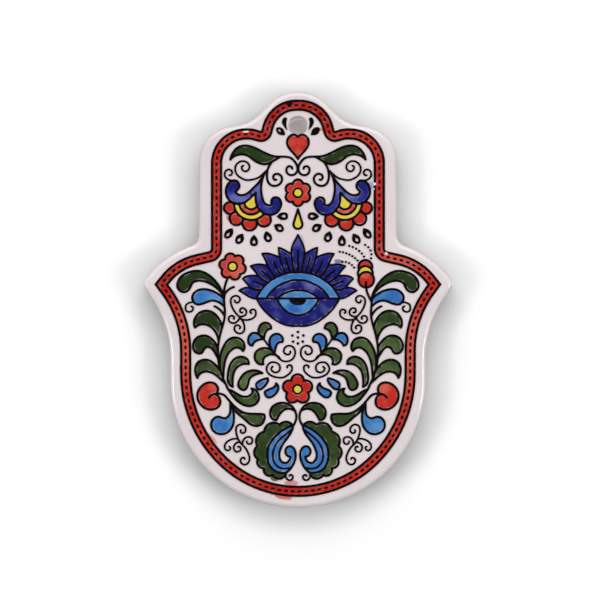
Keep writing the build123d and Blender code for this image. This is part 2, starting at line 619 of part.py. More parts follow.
# Twigs with green and blue leaves, double scrolls and dots under the eye
twig_stem = curve(
    (-9.9, -61.9), (-8.3, -64.1), (-7.15, -65.5), (-5.4, -67.6), (-4.3, -68.3), (-3.2, -68.4), (-1.95, -68),
    (-1.05, -66.95), (-0.8, -65.7), (-1.15, -64.6), (-2.1, -63.9), (-3.2, -64), (-4, -64.8), (-4, -65.8),
    (-3.2, -66.4), (-2.4, -66.2), (-2.2, -65.5),
)
twig_top = [
    curve((-9.9, -61.9), (-11.2, -60.6), (-11.3, -58.7), (-9.85, -57.2), (-8.2, -57.7), (-7.8, -58.9)),
    curve((-7.8, -58.9), (-9.1, -59.5), (-9.6, -60.4), (-9.9, -61.9)),
]
twig_foot = [
    curve((-6.9, -66.0), (-8.4, -64.8), (-10.75, -64.7), (-12.5, -66.4), (-11.9, -68.7), (-10.0, -69.2)),
    curve((-10.0, -69.2), (-9.9, -67.5), (-8.4, -66.5), (-5.35, -67.5)),
]
twig_left = [
    curve(
        (-9.9, -61.95), (-11.4, -60.5), (-13.2, -60.2), (-14.4, -61.8), (-14.0, -63.5), (-13.2, -63.8),
    ),
    curve((-13.2, -63.8), (-12.3, -62.55), (-11.2, -62.1), (-9.9, -61.95)),
]
twig_right = [
    curve((-6.8, -65.9), (-8.1, -63.8), (-7.9, -61.4), (-6.1, -60.4), (-4.6, -61.3), (-4.55, -62.8)),
    curve((-4.55, -62.8), (-6.0, -63.3), (-6.5, -64.6), (-6.8, -65.9)),
]
twig_ink = ink(twig_top + twig_foot + twig_left + twig_right) + ink([twig_stem], SCROLL_WIDTH)
double_scroll = curve(
    (-3.1, -70.2), (-2.7, -69.5), (-1.9, -69.7), (-1.7, -70.45), (-1.95, -71.3), (-2.85, -72.25),
    (-4.1, -73), (-5.7, -73.1), (-7.3, -72.7), (-8.6, -71.8), (-9.1, -70.7), (-8.85, -69.65),
    (-8.05, -68.8), (-6.8, -68.65), (-5.6, -69.2), (-5.2, -70.2), (-5.5, -71.2), (-6.5, -71.6),
    (-7.4, -71.25), (-7.75, -70.5), (-7.3, -69.95),
)
paint["twig_lines"] = both(twig_ink)
paint["twig_green_leaves"] = both(field(*twig_top) - twig_ink + (field(*twig_foot) - twig_ink))
paint["twig_blue_leaves"] = both(field(*twig_left) - twig_ink + (field(*twig_right) - twig_ink))
paint["double_scrolls"] = both(ink([double_scroll], SCROLL_WIDTH))
DOT_PLACES = [
    (0, -59.85), (-1.6, -60.9), (1.6, -60.9), (0, -61.45), (-1.4, -62.65), (1.4, -62.65), (0, -63.2),
]
dot = Circle(DOT_DIAMETER / 2)
paint["axis_dots"] = Sketch(children=[Pos(*at(*place)) * dot for place in DOT_PLACES])

# Loose leaves and drops beside the lower flower
loose_drops = [
    [
        curve((-8.8, -73.3), (-10.8, -73.9), (-12.1, -75.1), (-11.4, -76.5), (-10, -75.9), (-8.8, -73.3)),
    ],
    [
        curve(
            (-6.35, -74.75), (-8.05, -76.4), (-9.6, -77.4), (-8.95, -78.7), (-6.8, -78.1), (-6.35, -74.75),
        ),
    ],
]
loose_leaf_ink = ink(leaf_6 + leaf_7)
loose_drop_ink = ink(sum(loose_drops, []))
paint["loose_leaf_lines"] = both(loose_leaf_ink)
paint["loose_leaves"] = both(Sketch() + [field(*leaf) - loose_leaf_ink for leaf in (leaf_6, leaf_7)])
paint["loose_drop_lines"] = both(loose_drop_ink)
paint["loose_drops"] = both(Sketch() + [field(*outline) - loose_drop_ink for outline in loose_drops])
painted_flower("lower_flower", (-0.1, -76.5), 5, 90, 4.35, 3.1)

# Paisleys at the bottom, with a leaf on each stem
stem_line = curve((-1.4, -87.0), (-0.7, -85.8), (-0.45, -84.6), (-0.6, -83.4))
stem_leaf = [
    curve(
        (-0.6, -83.4), (-0.9, -82.6), (-1.95, -81.3), (-4.6, -80.4), (-7.3, -81.5), (-8.05, -83.65),
        (-7.15, -85.25), (-6.2, -85.4),
    ),
    curve((-6.2, -85.4), (-5.35, -83.8), (-3.9, -82.4), (-2.2, -82.2), (-0.8, -82.9)),
]
SCALLOPS = [
    [(-1.5, -87.0), (-3, -85.95), (-5.3, -86.8)],
    [(-5.3, -86.8), (-7.6, -86.25), (-9.8, -88.8)],
    [(-9.8, -88.8), (-11.6, -89.9), (-11.75, -93)],
    [(-11.75, -93), (-12.7, -94.8), (-11.65, -96.7)],
    [(-11.65, -96.7), (-11.4, -98.7), (-9.8, -99.4)],
    [(-9.8, -99.4), (-9.3, -101.2), (-7.3, -101.3)],
    [(-7.3, -101.3), (-5.8, -102.4), (-3.4, -100.8)],
]
scallops = [ThreePointArc(*[at(*place) for place in places]) for places in SCALLOPS]
back_line = curve(
    (-3.4, -100.7), (-5.5, -100.6), (-7.15, -99.8), (-8.3, -98.35), (-8.85, -95.6), (-8.3, -92.6),
    (-5.5, -89.2), (-3.6, -87.85), (-1.4, -87.0),
)
middle_line = curve(
    (-1.9, -88.3), (-3.7, -89.65), (-6.6, -92.8), (-7.3, -95.4), (-6.8, -97.8), (-5.7, -99), (-4.5, -99.45),
    (-2.6, -99.3),
)
inner_line = curve(
    (-1.4, -87.0), (-2.1, -89.2), (-4.3, -92.25), (-5.1, -93.9), (-5.45, -95.5), (-5.2, -96.75),
    (-4.5, -97.65), (-3.4, -97.8), (-2.5, -97.1), (-2.2, -96),
)
curl_line = curve(
    (-2.2, -96), (-3.2, -95.6), (-3.65, -94.5), (-3, -93.2), (-2.05, -93.05), (-1.15, -93.7), (-0.7, -94.95),
    (-0.7, -96.4), (-1.15, -97.8), (-1.95, -99.25), (-3.4, -100.7),
)
tail_scroll = curve(
    (-3.2, -100.4), (-3.5, -101.8), (-2.85, -102.75), (-1.95, -102.75), (-1.45, -101.95), (-1.95, -101.3),
    (-2.5, -101.6),
)
paisley_ink = ink(stem_leaf + scallops + [stem_line, back_line, inner_line, curl_line])
paisley_ink = paisley_ink + ink([middle_line, tail_scroll], SCROLL_WIDTH)
paint["paisley_lines"] = both(paisley_ink)
paint["paisley_backs"] = both(field(*scallops, back_line) - paisley_ink)
paint["paisley_crescents"] = both(field(back_line, inner_line, curl_line) - paisley_ink)
paint["paisley_leaves"] = both(field(*stem_leaf) - paisley_ink)

# Body of the hand, its glaze, and the hole through both
hand_face = make_face(rounded_outline(HAND_CORNERS))
clay_face = offset(hand_face, amount=-GLAZE_THICKNESS)
clay_block = extrude(BACK * clay_face, PLAQUE_THICKNESS - GLAZE_THICKNESS)
clay_block = fillet(clay_block.faces().sort_by(Axis.Y)[0].edges(), EDGE_ROUNDING - GLAZE_THICKNESS)
clay_block = chamfer(clay_block.faces().sort_by(Axis.Y)[-1].edges(), BACK_CHAMFER)
coat = extrude(BACK.offset(BARE_EDGE) * hand_face, PLAQUE_THICKNESS - BARE_EDGE)
coat = fillet(coat.faces().sort_by(Axis.Y)[0].edges(), EDGE_ROUNDING)
lining = extrude(BACK * Circle(HOLE_RADIUS + GLAZE_THICKNESS), PLAQUE_THICKNESS)
bore = extrude(BACK * Circle(HOLE_RADIUS), PLAQUE_THICKNESS)
glaze = coat - clay_block + lining - bore
lip_edge = glaze.faces().filter_by(Axis.Y).sort_by(Axis.Y)[0].edges().filter_by(GeomType.CIRCLE)
lip_edge = [edge for edge in lip_edge if abs(edge.radius - HOLE_RADIUS) < TOUCHING]
glaze = fillet(lip_edge, HOLE_LIP)

pieces = {"clay_body": clay_block - lining, "white_glaze": glaze}
INK_NAMES = ("lines", "line", "seeds", "stitches", "pupil", "dots", "scrolls")
for name, sketch in paint.items():
    thickness = INK_THICKNESS if name.endswith(INK_NAMES) else ENAMEL_THICKNESS
    pieces[name] = extrude(FRONT * sketch, thickness)

os.makedirs("parts", exist_ok=True)
for name, piece in pieces.items():
    export_step(piece, os.path.join("parts", name + ".step"))
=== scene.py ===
"""Finishes a glazed clay hamsa hand: bare clay, white glaze, inked lines and pools of coloured enamel.

The hand hangs on a white paper sweep, lit softly from the front, and the camera faces its painted side.
"""

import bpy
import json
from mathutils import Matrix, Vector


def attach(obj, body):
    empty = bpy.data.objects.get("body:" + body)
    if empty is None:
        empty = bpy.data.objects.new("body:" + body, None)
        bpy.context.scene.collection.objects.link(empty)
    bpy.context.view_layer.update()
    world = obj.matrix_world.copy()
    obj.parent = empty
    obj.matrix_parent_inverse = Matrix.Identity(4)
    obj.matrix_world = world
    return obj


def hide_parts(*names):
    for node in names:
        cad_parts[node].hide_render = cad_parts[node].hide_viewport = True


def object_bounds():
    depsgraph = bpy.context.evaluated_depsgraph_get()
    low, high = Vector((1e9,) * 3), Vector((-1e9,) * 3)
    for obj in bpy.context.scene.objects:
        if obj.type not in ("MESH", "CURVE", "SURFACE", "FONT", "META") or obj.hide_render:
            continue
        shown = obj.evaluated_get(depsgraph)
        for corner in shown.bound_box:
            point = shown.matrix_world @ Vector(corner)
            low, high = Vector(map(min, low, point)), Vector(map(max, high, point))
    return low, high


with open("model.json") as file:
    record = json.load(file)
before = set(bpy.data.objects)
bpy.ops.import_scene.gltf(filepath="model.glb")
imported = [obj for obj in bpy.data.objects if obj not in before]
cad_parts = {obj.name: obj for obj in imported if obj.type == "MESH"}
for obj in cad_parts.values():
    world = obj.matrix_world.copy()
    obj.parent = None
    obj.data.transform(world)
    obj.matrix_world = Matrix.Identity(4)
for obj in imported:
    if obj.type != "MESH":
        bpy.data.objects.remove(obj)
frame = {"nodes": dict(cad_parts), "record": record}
CAD_BOX = [list(corner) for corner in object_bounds()]

import json
from math import cos, radians, sin

import bmesh
import bpy
from bpy.props import FloatProperty, FloatVectorProperty, PointerProperty
from bpy.types import Operator, Panel, PropertyGroup
from mathutils import Vector
from mathutils.kdtree import KDTree

bl_info = {
    "name": "Hamsa Hand",
    "version": (1, 0, 0),
    "blender": (4, 5, 0),
    "location": "View3D > Sidebar > Hamsa",
    "description": "Glaze, ink and enamel for a painted clay hand that hangs on a wall",
    "category": "Object",
}

MM = 0.001
BODY = "root"
RIM_ATTRIBUTE = "rim_distance"
FRONT_FACING = -0.9
MERGE_DISTANCE = 0.0005 * MM
CUT_DISTANCE = 0.0001 * MM
RIM_SPACING = 0.1 * MM
FLAT_ANGLE = radians(1)
BEND_SEGMENTS = 24
BLOT_NOISE = 0.8 * MM
COAT_ROUGHNESS = 0.05
GLAZE_COAT = 0.8
OCCLUSION_SAMPLES = 16
NEAREST_SEEN = 0.01


def srgb(red, green, blue):
    """A linear colour from the 0 to 255 values that a screen shows."""
    return tuple(
        level / 255 / 12.92 if level <= 10 else ((level / 255 + 0.055) / 1.055) ** 2.4
        for level in (red, green, blue)
    )


def colour(label, about, value):
    """A colour that the user can change."""
    return FloatVectorProperty(
        name=label, description=about, subtype="COLOR", size=3, min=0, max=1, default=value
    )


def length(label, about, value):
    """A size in metres that the user can change."""
    return FloatProperty(name=label, description=about, unit="LENGTH", min=0, precision=5, default=value)


def share(label, about, value):
    """A share from 0 to 1 that the user can change."""
    return FloatProperty(name=label, description=about, subtype="FACTOR", min=0, max=1, default=value)


def watts(label, about, value):
    """A lamp's power that the user can change."""
    return FloatProperty(name=label, description=about, unit="POWER", min=0, default=value)


class HamsaClay(PropertyGroup):
    """The bare clay that shows on the back."""

    body: colour("Clay", "Colour of the fired clay", srgb(222, 200, 176))
    pale: colour("Pale clay", "Colour of the clay's wiped and chalky patches", srgb(236, 222, 204))
    speck: colour("Speck", "Colour of the grog specks in the clay", srgb(150, 112, 84))
    grain: length("Grain", "Width of one grain of the clay", 0.25 * MM)


class HamsaGlaze(PropertyGroup):
    """The white glaze that covers the front and the sides."""

    white: colour("White", "Colour of the glaze where it is thick", srgb(231, 221, 223))
    cloud: colour("Cloud", "Colour of the glaze where the clay shows through", srgb(221, 207, 209))
    # Painted shade: this grey darkens a band along the edge so that the outline reads dark, as well as
    # standing for glaze running thin there
    thin: colour("Thin", "Colour of the glaze where it runs thin over the edge", srgb(170, 156, 150))
    pinhole: colour("Pinhole", "Colour of the tiny pits left by the kiln", srgb(178, 160, 156))
    peel: length("Peel", "Width of one ripple in the glaze", 0.9 * MM)
    gloss: share("Roughness", "Roughness of the glaze", 0.1)


class HamsaInk(PropertyGroup):
    """The black lines."""

    black: colour("Black", "Colour of a full line", srgb(7, 4, 5))
    worn: colour("Worn", "Colour of a thin stretch of a line", srgb(38, 27, 27))
    gloss: share("Roughness", "Roughness of the ink", 0.16)


class HamsaEnamel(PropertyGroup):
    """The coloured enamels, each with its colour where it is thin, full and deep."""

    red_thin: colour("Thin red", "Red where the brush left little", srgb(214, 100, 83))
    red_full: colour("Red", "Red in the body of a field", srgb(192, 48, 36))
    red_deep: colour("Deep red", "Red where it has pooled", srgb(166, 25, 21))
    yellow_thin: colour("Thin yellow", "Yellow where the brush left little", srgb(232, 215, 102))
    yellow_full: colour("Yellow", "Yellow in the body of a field", srgb(224, 203, 60))
    yellow_deep: colour("Deep yellow", "Yellow where it has pooled", srgb(204, 174, 42))
    green_thin: colour("Thin green", "Green where the brush left little", srgb(93, 112, 66))
    green_full: colour("Green", "Green in the body of a field", srgb(55, 75, 38))
    green_deep: colour("Deep green", "Green where it has pooled", srgb(33, 50, 21))
    cobalt_thin: colour("Thin cobalt", "Cobalt where the brush left little", srgb(115, 120, 188))
    cobalt_full: colour("Cobalt", "Cobalt in the body of a field", srgb(45, 49, 143))
    cobalt_deep: colour("Deep cobalt", "Cobalt where it has pooled", srgb(21, 22, 96))
    pale_blue_thin: colour("Thin blue", "Blue where the brush left little", srgb(101, 158, 208))
    pale_blue_full: colour("Blue", "Blue in the body of a field", srgb(64, 123, 186))
    pale_blue_deep: colour("Deep blue", "Blue where it has pooled", srgb(44, 90, 166))
    gloss: share("Roughness", "Roughness of the enamel", 0.17)
    cell: length("Cell", "Spacing of the cuts that let a field dome", 0.4 * MM)
    sunk: length("Sunk rim", "How far the rim of a field sinks towards the glaze", 0.04 * MM)
    crown: length("Crown", "How far the middle of a field stands above its rim", 0.09 * MM)
    reach: length("Reach", "Distance from the rim over which a field domes", 0.9 * MM)


class HamsaStage(PropertyGroup):
    """The paper sweep, the lights and the camera."""

    paper: colour("Paper", "Colour of the paper sweep", (0.89, 0.89, 0.89))
    paper_gap: length("Gap", "Distance from the back of the hand to the paper", 0.4 * MM)
    paper_width: length("Paper width", "Width of the paper and height of its wall", 3.0)
    floor_depth: length("Floor depth", "Distance that the floor reaches in front of the wall", 0.4)
    floor_drop: length("Floor drop", "Distance from the foot of the hand to the floor", 0.12)
    bend: length("Bend", "Radius of the bend between the floor and the wall", 0.1)
    view_width: length("View width", "Width that the picture takes in at the painted face", 0.174)
    view_right: FloatProperty(
        name="View right", description="Middle of the picture, right of the hole", unit="LENGTH",
        precision=5, default=0.6 * MM,
    )
    view_down: length("View down", "Middle of the picture, below the hole", 50.6 * MM)
    lens: FloatProperty(name="Lens", description="Focal length, in millimetres", min=20, default=100)
    # Painted shadow: the dusk darkens the paper's colour by ambient occlusion towards the hand, on top of
    # the shadow that the lamps cast
    corner: length("Corner", "Reach of the dusk in the corner between the paper and the hand", 10 * MM)
    dusk: share("Dusk", "Depth of the dusk in that corner", 0.78)
    dusk_tint: colour("Dusk tint", "Colour that the paper falls to in that corner", (0.0, 0.03, 0.04))
    glow: share("Glow", "Light that the paper adds of its own", 0.12)
    sky: share("Sky", "Light of the room, level with the hand", 0.61)
    grazing: share("Grazing", "Share of that light that comes from the sides and from behind", 0.2)
    behind: FloatProperty(
        name="Behind", description="Light from straight behind the hand", min=0, default=1.5
    )
    rise: share("Rise", "How much brighter the room is overhead than level with the hand", 0.95)
    side_power: watts("Side boxes", "Power of each of the two side boxes", 3.2)
    top_power: watts("Top box", "Power of the box over the hand", 4.2)
    back_power: watts("Back box", "Power of the box behind the hand", 3.0)


class Wire:
    """One output of a node, on which sums are written as Python expressions."""

    def __init__(self, sheet, socket):
        self.sheet = sheet
        self.socket = socket

    def maths(self, operation, first, second):
        return self.sheet.node("ShaderNodeMath", {"operation": operation}, {0: first, 1: second})

    def __add__(self, other):
        return self.maths("ADD", self, other)

    def __sub__(self, other):
        return self.maths("SUBTRACT", self, other)

    def __rsub__(self, other):
        return self.maths("SUBTRACT", other, self)

    def __mul__(self, other):
        return self.maths("MULTIPLY", self, other)

    def __pow__(self, other):
        return self.maths("POWER", self, other)

    __radd__ = __add__
    __rmul__ = __mul__


class NodeSheet:
    """The shader nodes of one material or of the world."""

    def __init__(self, owner):
        owner.use_nodes = True
        self.tree = owner.node_tree
        self.tree.nodes.clear()

    def node(self, kind, settings=None, sockets=None, out=0):
        """Adds a node, sets it up, fills its sockets and gives back one of its outputs."""
        made = self.tree.nodes.new(kind)
        for name, value in (settings or {}).items():
            setattr(made, name, value)
        for name, value in (sockets or {}).items():
            if isinstance(value, Wire):
                self.tree.links.new(value.socket, made.inputs[name])
            else:
                made.inputs[name].default_value = value
        return Wire(self, made.outputs[out]) if made.outputs else None

    def place(self):
        """The place on the piece, in metres."""
        return self.node("ShaderNodeTexCoord", out="Object")

    def along(self, turn, stretch):
        """The place on the piece, stretched along a turn of the front, in degrees from the right."""
        sockets = {"Vector": self.place(), "Rotation": (0, -radians(turn), 0), "Scale": (stretch, 1, 1)}
        return self.node("ShaderNodeMapping", {"vector_type": "TEXTURE"}, sockets)

    def noise(self, size, detail=2.0, rough=0.5, where=None, seed=0.0):
        """Soft noise from 0 to 1, in blotches of a size in metres."""
        sockets = {
            "Vector": where or self.place(),
            "W": seed,
            "Scale": 1 / size,
            "Detail": detail,
            "Roughness": rough,
        }
        return self.node("ShaderNodeTexNoise", {"noise_dimensions": "4D"}, sockets)

    def cells(self, size, where=None):
        """Distance from the nearest of scattered points, in shares of their spacing."""
        sockets = {"Vector": where or self.place(), "Scale": 1 / size}
        return self.node("ShaderNodeTexVoronoi", {}, sockets)

    def ease(self, value, low, high, start=0.0, end=1.0):
        """A value between low and high, eased to a value between start and end."""
        sockets = {"Value": value, "From Min": low, "From Max": high, "To Min": start, "To Max": end}
        return self.node("ShaderNodeMapRange", {"interpolation_type": "SMOOTHSTEP"}, sockets)

    def blend(self, first, second, amount):
        """A colour between two colours."""
        pair = [value if isinstance(value, Wire) else (*value, 1) for value in (first, second)]
        sockets = {0: amount, 6: pair[0], 7: pair[1]}
        return self.node("ShaderNodeMix", {"data_type": "RGBA"}, sockets, out=2)

    def blot(self, right, up, wide, tall, turn=0.0, soft=0.1, wobble=0.3):
        """A mask that is 1 inside a ragged oval on the front and 0 outside. Sizes are in millimetres."""
        sockets = {
            "Vector": self.place(),
            "Location": (right * MM, 0, up * MM),
            "Rotation": (0, -radians(turn), 0),
            "Scale": (wide * MM, 1, tall * MM),
        }
        oval = self.node("ShaderNodeMapping", {"vector_type": "TEXTURE"}, sockets)
        distance = self.node("ShaderNodeVectorMath", {"operation": "LENGTH"}, {0: oval}, out="Value")
        ragged = distance + (self.noise(BLOT_NOISE, 3.0, seed=right) - 0.5) * wobble * 2
        return self.ease(ragged, 0.5 - soft, 0.5 + soft, 1.0, 0.0)

    def bump(self, height, depth, strength=1.0):
        """A normal from a height that runs from 0 to 1 over a depth in metres."""
        sockets = {"Strength": strength, "Distance": depth, "Height": height}
        return self.node("ShaderNodeBump", {}, sockets)

    def surface(self, base, roughness, normal, coat=0.0):
        """Ends the material in a glossy surface."""
        sockets = {"Base Color": base, "Roughness": roughness, "Normal": normal}
        if coat:
            sockets.update({"Coat Weight": coat, "Coat Roughness": COAT_ROUGHNESS})
        shader = self.node("ShaderNodeBsdfPrincipled", {}, sockets)
        self.node("ShaderNodeOutputMaterial", {}, {"Surface": shader})


def nodes_of(slot):
    """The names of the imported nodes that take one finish."""
    return [part["node"] for part in frame["record"]["subparts"] if part["material_slot"] == slot]


def dress(slot, material):
    """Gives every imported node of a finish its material."""
    for name in nodes_of(slot):
        data = frame["nodes"][name].data
        data.materials.clear()
        data.materials.append(material)


def new_material(name):
    """An empty material and the sheet that its nodes go on."""
    material = bpy.data.materials.new(name)
    return material, NodeSheet(material)


# Sizes in the clay's finish
PATCH_SIZE = 14 * MM
WIPE_SIZE = 1.2 * MM
SPECK_SPACING = 1.7 * MM
CLAY_RELIEF = 0.06 * MM


def clay_finish(clay):
    """Fired clay, left bare: chalky patches, fine grain and scattered grog."""
    material, sheet = new_material("bare_clay")
    patch = sheet.ease(sheet.noise(PATCH_SIZE, 4.0), 0.35, 0.65)
    wiped = sheet.noise(WIPE_SIZE, 3.0, where=sheet.along(25, 6))
    grain = sheet.noise(clay.grain, 3.0, 0.65)
    specks = sheet.ease(sheet.cells(SPECK_SPACING), 0.10, 0.16, 1.0, 0.0)
    base = sheet.blend(clay.body, clay.pale, patch * 0.6 + wiped * 0.4)
    base = sheet.blend(base, clay.speck, specks * 0.55)
    base = sheet.blend(base, clay.speck, sheet.ease(grain, 0.62, 0.8) * 0.25)
    normal = sheet.bump(grain * 0.7 + wiped * 0.3, CLAY_RELIEF, 0.6)
    sheet.surface(base, sheet.ease(grain, 0.2, 0.8, 0.78, 0.92), normal)
    return material


# Smears on the glaze: colour, strength, place, width, height and turn, in millimetres and degrees
SMEARS = [
    ("red_full", 0.6, -1.8, -103.7, 4.4, 1.5, 0),
    ("red_full", 0.75, -4.5, -107.6, 6.0, 1.5, -12),
    ("red_full", 0.7, -20.3, -26.7, 1.1, 1.5, 0),
    ("red_thin", 0.6, -34.1, -70.8, 0.7, 3.0, 0),
    ("red_thin", 0.6, -24.7, -90.8, 3.6, 0.9, -48),
    ("red_thin", 0.7, 6.5, -1.1, 1.8, 1.0, -30),
    ("green_full", 0.9, -6.9, -102.5, 2.6, 1.4, -20),
    ("cobalt_full", 0.75, 11.5, -39.4, 2.3, 1.2, 0),
    ("cobalt_thin", 0.6, 21.4, -17.4, 1.4, 2.6, 20),
    ("cobalt_thin", 0.35, 1.3, -33.0, 0.9, 2.6, 20),
]
# Depths at which the painted shade along the edge begins, is full, starts to fade and ends: a grey band
# that darkens the outline, and also stands for the glaze running thin there
EDGE_SHADE_BAND = (-6.35 * MM, -6.0 * MM, -5.5 * MM, -4.8 * MM)
# Sizes in the glaze's finish
CLOUD_SIZE = 18 * MM
MOTTLE_SIZE = 0.7 * MM
PIT_SPACING = 3.1 * MM
SWELL_SIZE = 9 * MM
GLAZE_RELIEF = 0.05 * MM


def glaze_finish(glaze, enamel):
    """White tin glaze: faint clouds, pinholes, a rippled skin, a thin edge painted grey as shade along
    the outline, and stray smears of colour.
    """
    material, sheet = new_material("white_tin_glaze")
    cloud = sheet.ease(sheet.noise(CLOUD_SIZE, 3.0), 0.3, 0.7)
    mottle = sheet.noise(MOTTLE_SIZE, 3.0, 0.6)
    pits = sheet.ease(sheet.cells(PIT_SPACING), 0.030, 0.055, 1.0, 0.0)
    base = sheet.blend(glaze.white, glaze.cloud, cloud * 0.5 + mottle * 0.4)
    base = sheet.blend(base, glaze.pinhole, pits * 0.5)
    depth = sheet.node("ShaderNodeSeparateXYZ", {}, {0: sheet.place()}, out="Y")
    begins, full, fades, ends = EDGE_SHADE_BAND
    # Painted shade: the edge band greys the glaze along the outline, and also stands for the glaze
    # running thin there
    edge = sheet.ease(depth, begins, full) * sheet.ease(depth, fades, ends, 1.0, 0.0)
    base = sheet.blend(base, glaze.thin, edge)
    for tone, strength, right, up, wide, tall, turn in SMEARS:
        smear = sheet.blot(right, up, wide, tall, turn) * strength
        base = sheet.blend(base, getattr(enamel, tone), smear)
    peel = sheet.noise(glaze.peel, 2.0)
    swell = sheet.noise(SWELL_SIZE, 1.0)
    normal = sheet.bump(peel * 0.35 + swell - pits * 0.3, GLAZE_RELIEF, 0.35)
    roughness = sheet.ease(mottle, 0.3, 0.8, glaze.gloss, glaze.gloss + 0.1)
    sheet.surface(base, roughness, normal, coat=GLAZE_COAT)
    return material


# Nicks where the glaze shows through the ink: place, width, height and turn
NICKS = [(22.0, -17.0, 1.5, 0.9, 15), (21.9, -18.4, 0.7, 0.5, 0), (25.6, -37.0, 0.9, 0.5, -20)]


# Sizes in the ink's finish
WEAR_SIZE = 2.2 * MM
INK_GRAIN = 0.3 * MM
INK_RELIEF = 0.03 * MM


def ink_finish(ink, white):
    """Black line ink, thinner and browner in places and nicked in a few."""
    material, sheet = new_material("black_line_ink")
    thin = sheet.ease(sheet.noise(WEAR_SIZE, 3.0), 0.5, 0.8)
    grain = sheet.noise(INK_GRAIN, 2.0)
    base = sheet.blend(ink.black, ink.worn, thin * 0.6 + grain * 0.15)
    for nick in NICKS:
        base = sheet.blend(base, white, sheet.blot(*nick))
    normal = sheet.bump(grain, INK_RELIEF, 0.4)
    sheet.surface(base, sheet.ease(thin, 0.0, 1.0, ink.gloss, ink.gloss + 0.15), normal)
    return material


# How far a field leans from its full tone: below 0 towards the deep tone, above 0 towards the thin one
LEAN = {
    "border_band": -0.3, "heart": -0.25, "axis_flower_petals": 0.2, "left_flower_petals": 0.35,
    "lower_flower_petals": -0.3, "blossom_petals": -0.1, "blossom_middle_domes": 0.3, "bud_cap": 0.1,
    "bud_disc": -0.2, "left_branch_fruit": -0.05, "right_branch_fruit": -0.05,
    "crown_leaves": -0.85, "left_branch_leaves": -0.75, "right_branch_leaves": -0.3,
    "loose_leaves": 0.25, "twig_green_leaves": 0.15, "paisley_backs": -0.45, "paisley_leaves": -0.55,
    "eye_lashes": -0.25, "eye_band": -0.85, "eye_lower_lid": -0.75, "blossom_hooks": 0.0,
    "eye_lid": 0.15, "eye_upper_iris": 0.25, "eye_lower_iris": 0.1, "paisley_crescents": -0.2,
    "twig_blue_leaves": -0.25, "right_branch_drops": -0.25, "loose_drops": -0.3,
}
# How bare the rim of a field is, where not as bare as most: glaze showing along the rim, which also
# serves as a painted highlight along the raised edge
BARE_RIM_AND_HIGHLIGHT = {"border_band": 0.1, "eye_lashes": 0.2, "blossom_hooks": 0.3, "crown_leaves": 0.3}
MOST_BARE_AND_HIGHLIGHT = 0.4
